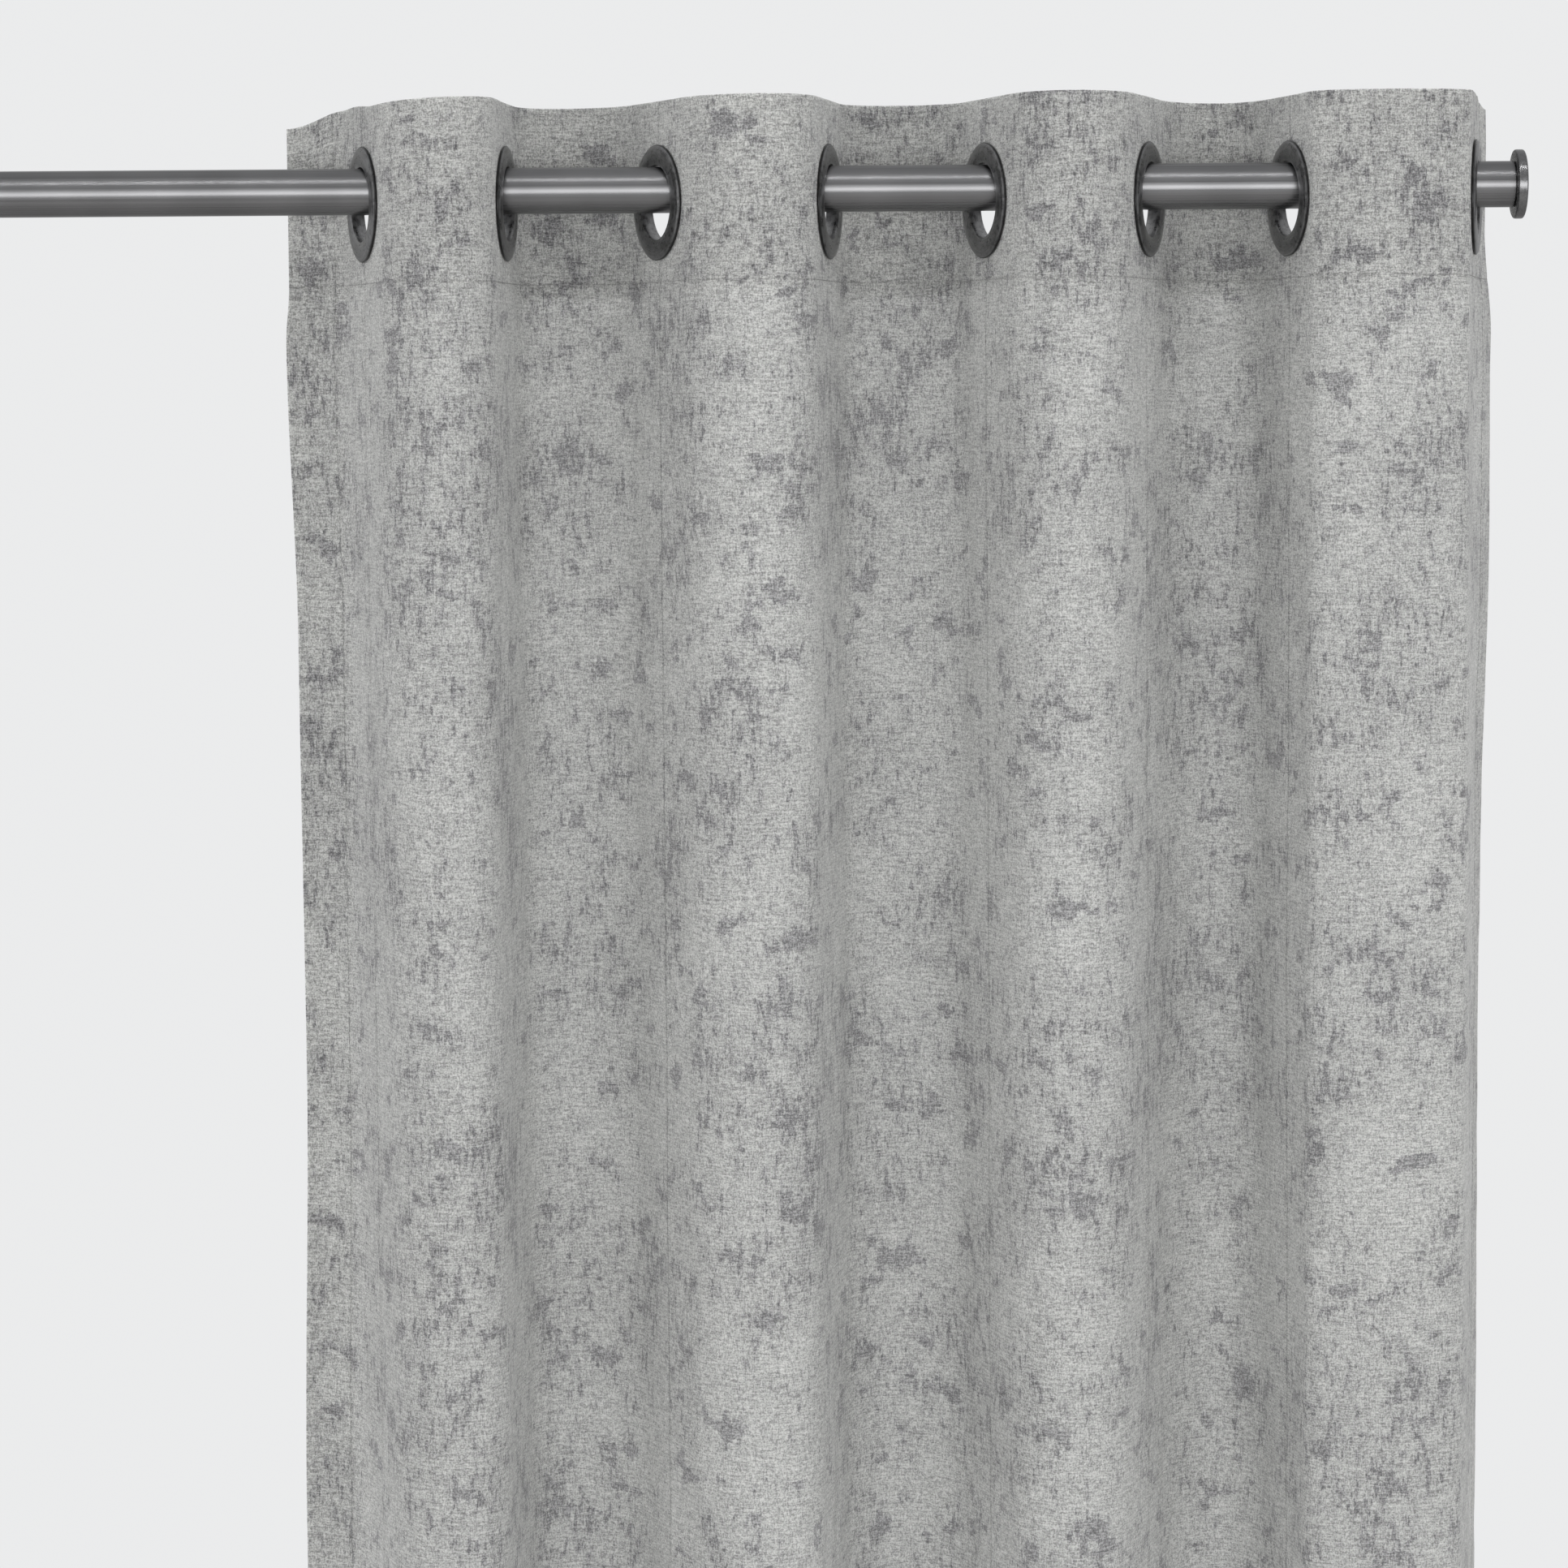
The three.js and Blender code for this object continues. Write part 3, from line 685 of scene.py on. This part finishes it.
def stitchTree(material):
    tree = bpy.data.node_groups.new("stitches", "GeometryNodeTree")
    tree.interface.new_socket("Points", in_out="INPUT", socket_type="NodeSocketGeometry")
    for name in ("Stitch Length", "Thread Radius"):
        tree.interface.new_socket(name, in_out="INPUT", socket_type="NodeSocketFloat")
    tree.interface.new_socket("Stitches", in_out="OUTPUT", socket_type="NodeSocketGeometry")
    nodes = Nodes(tree)
    given = nodes.add("NodeGroupInput").outputs
    sides, rings = thread["segments"], thread["rings"]
    ball = nodes.add("GeometryNodeMeshUVSphere", Segments=sides, Rings=rings, Radius=1.0)
    directions = []
    for name in ("along", "outward"):
        read = nodes.add("GeometryNodeInputNamedAttribute", {"data_type": "FLOAT_VECTOR"}, Name=name)
        directions.append(read.outputs["Attribute"])
    lie = nodes.add("FunctionNodeAlignRotationToVector", {"axis": "X"}, Vector=directions[0])
    stand = nodes.add("FunctionNodeAlignRotationToVector", {"axis": "Z", "pivot_axis": "X"})
    nodes.feed(stand, "Rotation", lie.outputs[0])
    nodes.feed(stand, "Vector", directions[1])
    vary = nodes.add("FunctionNodeRandomValue", {"data_type": "FLOAT"}, Seed=thread["seed"])
    nodes.feed(vary, 2, thread["lengthFrom"])
    nodes.feed(vary, 3, thread["lengthTo"])
    halfLength = nodes.maths("MULTIPLY", given["Stitch Length"], 0.5)
    size = nodes.add("ShaderNodeCombineXYZ")
    nodes.feed(size, 0, nodes.maths("MULTIPLY", halfLength, vary.outputs[1]))
    nodes.feed(size, 1, given["Thread Radius"])
    nodes.feed(size, 2, given["Thread Radius"])
    copies = nodes.add("GeometryNodeInstanceOnPoints", Points=given["Points"])
    nodes.feed(copies, "Instance", ball.outputs[0])
    nodes.feed(copies, "Rotation", stand.outputs[0])
    nodes.feed(copies, "Scale", size.outputs[0])
    real = nodes.add("GeometryNodeRealizeInstances", Geometry=copies.outputs[0])
    paint = nodes.add("GeometryNodeSetMaterial", Geometry=real.outputs[0], Material=material)
    nodes.feed(nodes.add("NodeGroupOutput"), 0, paint.outputs[0])
    return tree


# One stretch's stitches, as places across and down, with 1 for those that run down
def stitchPlaces(low, high, number):
    spots = []
    count = round((high - low) / thread["pitch"])
    for row in stitchRows:
        steps = low + (np.arange(count) + 0.5) * (high - low) / count
        spots.append(np.stack([steps, np.full(count, row), np.zeros(count)], axis=-1))
    if number in (0, grommetCount):
        column = stitchColumns[0] if number == 0 else stitchColumns[1]
        count = round(panel["drop"] / thread["pitch"])
        steps = (np.arange(count) + 0.5) * panel["drop"] / count
        spots.append(np.stack([np.full(count, column), steps, np.ones(count)], axis=-1))
    return np.concatenate(spots)


def buildStitches(layers, across, down):
    material, nodes, shader = newMaterial("thread")
    place = nodes.add("ShaderNodeTexCoord").outputs["Object"]
    twist = nodes.noise(place, *thread["twist"])
    shade = nodes.ramp(twist, *thread["twistShade"])
    nodes.feed(shader, "Base Color", nodes.tinted(thread["color"], shade))
    shader.inputs["Roughness"].default_value = thread["roughness"]
    tree = stitchTree(material)
    edges = [0, *seamPlaces, clothWidth]
    half = thread["stitchLength"] / 2
    for number in range(grommetCount + 1):
        spots = stitchPlaces(edges[number], edges[number + 1], number)
        points, alongs, outwards = [], [], []
        for face, normals in ((layers[0], layers[2]), (layers[1], layers[3])):
            u, v, isDown = spots.T
            low, high = np.clip(u - half * (1 - isDown), 0, None), u + half * (1 - isDown)
            start = onGrid(face, across, down, low, v - half * isDown)
            end = onGrid(face, across, down, high, v + half * isDown)
            outward = onGrid(normals, across, down, u, v)
            points.append((start + end) / 2 + thread["lift"] * outward)
            alongs.append(end - start)
            outwards.append(outward)
        mesh = bpy.data.meshes.new("stitchPoints")
        mesh.from_pydata(np.concatenate(points).tolist(), [], [])
        for name, values in (("along", alongs), ("outward", outwards)):
            attribute = mesh.attributes.new(name, "FLOAT_VECTOR", "POINT")
            attribute.data.foreach_set("vector", np.concatenate(values).ravel())
        piece = bpy.data.objects.new(f"stitches_{number}", mesh)
        bpy.context.scene.collection.objects.link(piece)
        modifier = piece.modifiers.new("stitches", "NODES")
        modifier.node_group = tree
        for socket in tree.interface.items_tree:
            if socket.name == "Stitch Length":
                modifier[socket.identifier] = thread["stitchLength"]
            if socket.name == "Thread Radius":
                modifier[socket.identifier] = thread["radius"]
        graph = bpy.context.evaluated_depsgraph_get()
        sewn = bpy.data.meshes.new_from_object(piece.evaluated_get(graph))
        piece.modifiers.clear()
        piece.data = sewn
        sewn.polygons.foreach_set("use_smooth", [True] * len(sewn.polygons))
        fasten(piece, *neighbours(number))
    print("stitches")


label = {
    "width": 0.026,
    "height": 0.054,
    "fromEdge": 0.003,
    "aboveBottom": 0.150,
    "gap": 0.0003,
    "thickness": 0.0004,
    "lift": 0.0022,  # how far its loose side stands off the cloth
    "waveShare": 0.35,  # how unevenly the loose side lifts, and how fast that changes down the label
    "waves": 3,
    "columns": 14,
    "rows": 26,
    "color": (0.78, 0.77, 0.75, 1),
    "ribs": ((300, 2600, 1), 1.0, 0.5, 3.0),
    "ribShade": (0.3, 0.7, 0.93, 1.04),
    "roughness": 0.55,
    "sheen": 0.1,
}


def buildLabel(layers, across, down):
    bottom = panel["drop"] - label["aboveBottom"]
    u, v = np.meshgrid(
        np.linspace(label["fromEdge"], label["fromEdge"] + label["width"], label["columns"]),
        np.linspace(bottom - label["height"], bottom, label["rows"]),
        indexing="ij",
    )
    outward = onGrid(layers[3], across, down, u, v)
    back = onGrid(layers[1], across, down, u, v)
    share = (u - label["fromEdge"]) / label["width"]
    wave = np.cos(label["waves"] * v / label["height"])
    curl = label["lift"] * share**2 * (1 + label["waveShare"] * wave)
    near = back + outward * (label["gap"] + curl)[..., None]
    far = near + outward * label["thickness"]
    material, nodes, shader = newMaterial("ribbon")
    place = nodes.add("ShaderNodeUVMap").outputs[0]
    ribs = nodes.noise(place, *label["ribs"])
    shade = nodes.ramp(ribs, *label["ribShade"])
    nodes.feed(shader, "Base Color", nodes.tinted(label["color"], shade))
    shader.inputs["Roughness"].default_value = label["roughness"]
    shader.inputs["Sheen Weight"].default_value = label["sheen"]
    sheets = (near, far, -outward, outward, u, v)
    piece = makeGridPiece("label", (0, label["columns"] - 1), sheets, (material, material), [])
    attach(piece, bodyOf[1])
    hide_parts("care_label")
    print("label")


metal = {
    # for each metal: colour, lines to a metre, roughness, contrast and bump height of the drawn lines
    "rod": ((0.20, 0.20, 0.204, 1), (0.8, 900, 900), 0.30, 0.12, 0.000007),
    "cap": ((0.20, 0.20, 0.204, 1), (700, 700, 700), 0.26, 0.10, 0.00003),
    "bracket": ((0.13, 0.13, 0.135, 1), (300, 300, 300), 0.42, 0.1, 0.00003),
    "screw": ((0.3, 0.3, 0.31, 1), (500, 500, 500), 0.3, 0.15, 0.00003),
    "lineDetail": (3.0, 0.65, 2.0),  # detail, roughness and seed of the lines
    "blotches": ((30, 30, 30), 2.0, 0.5, 7.0),
    "blotchShade": (0.3, 0.7, 0.94, 1.06),
    "lineSpread": (0.3, 0.7),
    "roughSpread": (0.2, 0.8),
    "roughShares": (0.8, 1.25),  # of the metal's roughness, at the two ends of that spread
    "bumpStrength": 0.5,
}


# Metal with fine drawn lines, which lie along the axis of the smallest scale
def brushedMetal(name, kind):
    color, scales, roughness, contrast, bumpHeight = metal[kind]
    material, nodes, shader = newMaterial(name)
    place = nodes.add("ShaderNodeTexCoord").outputs["Object"]
    lines = nodes.noise(place, scales, *metal["lineDetail"])
    blotches = nodes.noise(place, *metal["blotches"])
    shade = nodes.ramp(lines, *metal["lineSpread"], 1 - contrast, 1 + contrast)
    shade = nodes.maths("MULTIPLY", shade, nodes.ramp(blotches, *metal["blotchShade"]))
    nodes.feed(shader, "Base Color", nodes.tinted(color, shade))
    shader.inputs["Metallic"].default_value = 1.0
    rough = [roughness * share for share in metal["roughShares"]]
    nodes.feed(shader, "Roughness", nodes.ramp(lines, *metal["roughSpread"], *rough))
    nodes.bump(shader, lines, metal["bumpStrength"], bumpHeight)
    return material


lathe = {"mergeDistance": 1e-6, "sharpAngle": 40}


# Turns a profile of (radius, height) points about +Z: a closed profile makes a ring
def latheMesh(name, profile, sides, closed):
    rows = len(profile)
    spans = rows if closed else rows - 1
    # places on the surface run round it, and along the profile from its outermost point
    ends = [*profile, profile[0]]
    steps = [math.dist(start, end) for start, end in zip(ends, ends[1:])]
    arcs = np.concatenate([[0], np.cumsum(steps)])
    arcs = arcs - arcs[max(range(rows), key=lambda row: profile[row][0])]
    around = 2 * math.pi * max(radius for radius, height in profile) / sides
    vertices, faces, places = [], [], []
    for side in range(sides):
        angle = 2 * math.pi * side / sides
        for radius, height in profile:
            vertices.append((radius * math.cos(angle), radius * math.sin(angle), height))
        here, after = side * rows, (side + 1) % sides * rows
        left, right = side * around, (side + 1) * around
        for row in range(spans):
            above = (row + 1) % rows
            faces.append((here + row, after + row, after + above, here + above))
            low, high = arcs[row], arcs[row + 1]
            places += [(left, low), (right, low), (right, high), (left, high)]
    mesh = bpy.data.meshes.new(name)
    mesh.from_pydata(vertices, [], faces)
    layer = mesh.uv_layers.new(name="turned")
    layer.data.foreach_set("uv", np.array(places).ravel())
    return mesh


# Merges the poles' doubles, turns the faces outward and shades all but sharp edges smooth
def cleanMesh(mesh):
    work = bmesh.new()
    work.from_mesh(mesh)
    bmesh.ops.remove_doubles(work, verts=work.verts, dist=lathe["mergeDistance"])
    bmesh.ops.recalc_face_normals(work, faces=work.faces)
    work.to_mesh(mesh)
    work.free()
    mesh.polygons.foreach_set("use_smooth", [True] * len(mesh.polygons))
    mesh.set_sharp_from_angle(angle=math.radians(lathe["sharpAngle"]))


def arcPoints(centre, radius, startAngle, endAngle, steps):
    points = []
    for step in range(steps + 1):
        angle = math.radians(startAngle + (endAngle - startAngle) * step / steps)
        points.append((centre[0] + radius * math.cos(angle), centre[1] + radius * math.sin(angle)))
    return points


def placeMesh(name, mesh, matrix, material):
    cleanMesh(mesh)
    mesh.transform(matrix)
    mesh.materials.append(material)
    piece = bpy.data.objects.new(name, mesh)
    bpy.context.scene.collection.objects.link(piece)
    return piece


ring = {
    "throat": 0.0203,
    "barrelWall": 0.001,
    "seat": 0.0016,  # the flange's underside, in front of the cloth's middle
    "height": 0.0027,
    "rimRadius": 0.0008,
    "rimEndAngle": 20,
    "rimSteps": 6,
    "domeSteps": 16,
    "domeInset": 0.1,  # the share of the flange's width that the rim takes
    "domeFrom": 0.16,  # the share of a half wave that the dome starts at, and how much of one it spans
    "domeSpan": 0.62,
    "domePower": 0.8,
    "throatRoll": 0.0004,  # where the dome meets the throat
    "throatTop": 0.0010,
    "throatBottom": 0.0006,
    "barrelTail": 0.0024,
    "tailRoll": ((0, 0.0008), (0.0003, 0.0002), (0.0006, 0)),  # outward and up from the tail's end
    "tailLip": 0.0003,
    "backGap": 0.0002,
    "sides": 96,
    "color": (0.215, 0.215, 0.218, 1),
    "lines": ((60, 1500, 1), 2.0, 0.6, 4.0),
    "wear": ((260, 420, 1), 3.0, 0.6, 8.0),
    "lineShade": (0.3, 0.7, 0.86, 1.14),
    "wearShade": (0.35, 0.65, 0.80, 1.25),
    "rimPaintedShade": (0.0003, 0.0013, 0.2, 1.0),  # painted shade where the flange meets the cloth, by the distance from the outer edge
    "throatShade": (0.0085, 0.0115, 1.0, 1.35),
    "wearRoughness": (0.3, 0.7, 0.26, 0.42),
    "bumpStrength": 0.4,
    "bumpDistance": 0.00003,
}


# The flange's rolled face from its rim to the throat, as heights over its seat
def domeProfile(inner, outer):
    rim = ring["rimRadius"]
    points = arcPoints((outer - rim, rim), rim, -90, ring["rimEndAngle"], ring["rimSteps"])
    width = outer - inner
    for share in np.linspace(ring["domeInset"], 1.0, ring["domeSteps"]):
        rise = math.sin(math.pi * (ring["domeFrom"] + ring["domeSpan"] * share)) ** ring["domePower"]
        points.append((outer - width * share, ring["height"] * rise))
    return points


def frontRingProfile():
    inner, seat, wall = ring["throat"], ring["seat"], ring["barrelWall"]
    tail = -seat - ring["barrelTail"]
    points = [(inner + wall, seat)]
    for radius, height in domeProfile(inner + ring["throatRoll"], flangeRadius):
        points.append((radius, seat + height))
    points += [(inner, seat + ring["throatTop"]), (inner, seat - ring["throatBottom"])]
    points += [(inner + outward, tail + upward) for outward, upward in ring["tailRoll"]]
    points.append((inner + wall, tail + ring["tailLip"]))
    return points


def backRingProfile():
    seat = ring["seat"]
    inner = ring["throat"] + ring["barrelWall"] + ring["backGap"]
    points = [(inner, -seat)]
    points += [(radius, -seat - height) for radius, height in domeProfile(inner, flangeRadius)]
    return points


# Turned dark metal, with painted shade darkening the flange's outer edge where it meets the cloth, and
# worn lighter at the throat
def grommetMetal():
    material, nodes, shader = newMaterial("gunmetal")
    place = nodes.add("ShaderNodeUVMap").outputs[0]
    lines = nodes.noise(place, *ring["lines"])
    wear = nodes.noise(place, *ring["wear"])
    parts = nodes.add("ShaderNodeSeparateXYZ", Vector=place)
    fromEdge = nodes.maths("ABSOLUTE", parts.outputs[1])
    shade = nodes.ramp(lines, *ring["lineShade"])
    shade = nodes.maths("MULTIPLY", shade, nodes.ramp(wear, *ring["wearShade"]))
    # painted shade: the flange's colour darkens towards its outer edge, where it meets the cloth
    shade = nodes.maths("MULTIPLY", shade, nodes.ramp(fromEdge, *ring["rimPaintedShade"]))
    shade = nodes.maths("MULTIPLY", shade, nodes.ramp(fromEdge, *ring["throatShade"]))
    nodes.feed(shader, "Base Color", nodes.tinted(ring["color"], shade))
    shader.inputs["Metallic"].default_value = 1.0
    nodes.feed(shader, "Roughness", nodes.ramp(wear, *ring["wearRoughness"]))
    nodes.bump(shader, nodes.maths("ADD", lines, wear), ring["bumpStrength"], ring["bumpDistance"])
    return material


def buildGrommets():
    material = grommetMetal()
    for number in range(1, grommetCount + 1):
        heading = headingOf(number)
        along = Vector((heading[0], heading[1], 0))
        front = Vector((heading[1], -heading[0], 0))
        turn = Matrix((along, Vector((0, 0, 1)), front)).transposed().to_4x4()
        place = Matrix.Translation(grommetCentres[number - 1]) @ turn
        for half, profile in (("front", frontRingProfile()), ("back", backRingProfile())):
            name = f"eyelet_{half}_{number}"
            mesh = latheMesh(name, profile, ring["sides"], True)
            piece = placeMesh(name, mesh, place, material)
            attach(piece, bodyOf[number])
            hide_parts(f"grommet_{half}_{number}")
    print("grommets", grommetCount)


rod = {
    "wall": 0.0012,
    "endBevel": 0.0003,
    "sides": 128,
    "capEdge": 0.0012,
    "capBevelSteps": 5,
    "spigotGap": 0.0003,
    "spigotBevel": 0.0005,
    "capMiddle": 0.5,  # the share of the cap's radius where its flat face is divided
}


def buildTube(inner):
    bevel = rod["endBevel"]
    profile = [
        (inner, rodLow.x),
        (rodRadius - bevel, rodLow.x),
        (rodRadius, rodLow.x + bevel),
        (rodRadius, rodHigh.x - bevel),
        (rodRadius - bevel, rodHigh.x),
        (inner, rodHigh.x),
    ]
    toX = Matrix.Rotation(math.pi / 2, 4, "Y")
    place = Matrix.Translation((0, rodCentre.y, rodCentre.z)) @ toX
    material = brushedMetal("pewter", "rod")
    tube = placeMesh("rod", latheMesh("rod", profile, rod["sides"], True), place, material)
    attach(tube, "rail")
    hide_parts("rod_tube")


def buildCap(side, sign, inner, material):
    node = f"end_cap_{side}"
    low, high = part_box(node)
    radius = (high.z - low.z) / 2
    outerX = high.x if sign > 0 else low.x
    rodEnd = rodHigh.x if sign > 0 else rodLow.x
    innerX = low.x if sign > 0 else high.x
    gap, bevel = rod["spigotGap"], rod["spigotBevel"]
    edge, steps = rod["capEdge"], rod["capBevelSteps"]
    thickness = abs(outerX - rodEnd) - gap
    spigot = abs(rodEnd - innerX)
    bore = inner - gap
    points = [(0, -spigot), (bore - bevel, -spigot), (bore, -spigot + bevel), (bore, gap)]
    points += arcPoints((radius - edge, gap + edge), edge, -90, 0, steps)
    points += arcPoints((radius - edge, gap + thickness - edge), edge, 0, 90, steps)
    points += [(radius * rod["capMiddle"], gap + thickness), (0, gap + thickness)]
    turn = Matrix.Rotation(sign * math.pi / 2, 4, "Y")
    place = Matrix.Translation((rodEnd, rodCentre.y, rodCentre.z)) @ turn
    mesh = latheMesh(f"cap_{side}", points, rod["sides"], False)
    cap = placeMesh(f"cap_{side}", mesh, place, material)
    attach(cap, node)
    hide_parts(node)


def buildRod():
    inner = rodRadius - rod["wall"]
    buildTube(inner)
    material = brushedMetal("pewterTurned", "cap")
    for side, sign in (("right", 1), ("left", -1)):
        buildCap(side, sign, inner, material)
    print("rod and caps")


def dressCad():
    bracket = brushedMetal("bracketPewter", "bracket")
    steel = brushedMetal("screwSteel", "screw")
    for name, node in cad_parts.items():
        if name.startswith("bracket"):
            node.data.materials.clear()
            node.data.materials.append(bracket)
        elif "screw" in name:
            node.data.materials.clear()
            node.data.materials.append(steel)
    print("brackets and screws")


addCamera()
addStage()
cloth = buildCloth()
buildStitches(*cloth)
buildLabel(*cloth)
buildGrommets()
buildRod()
dressCad()
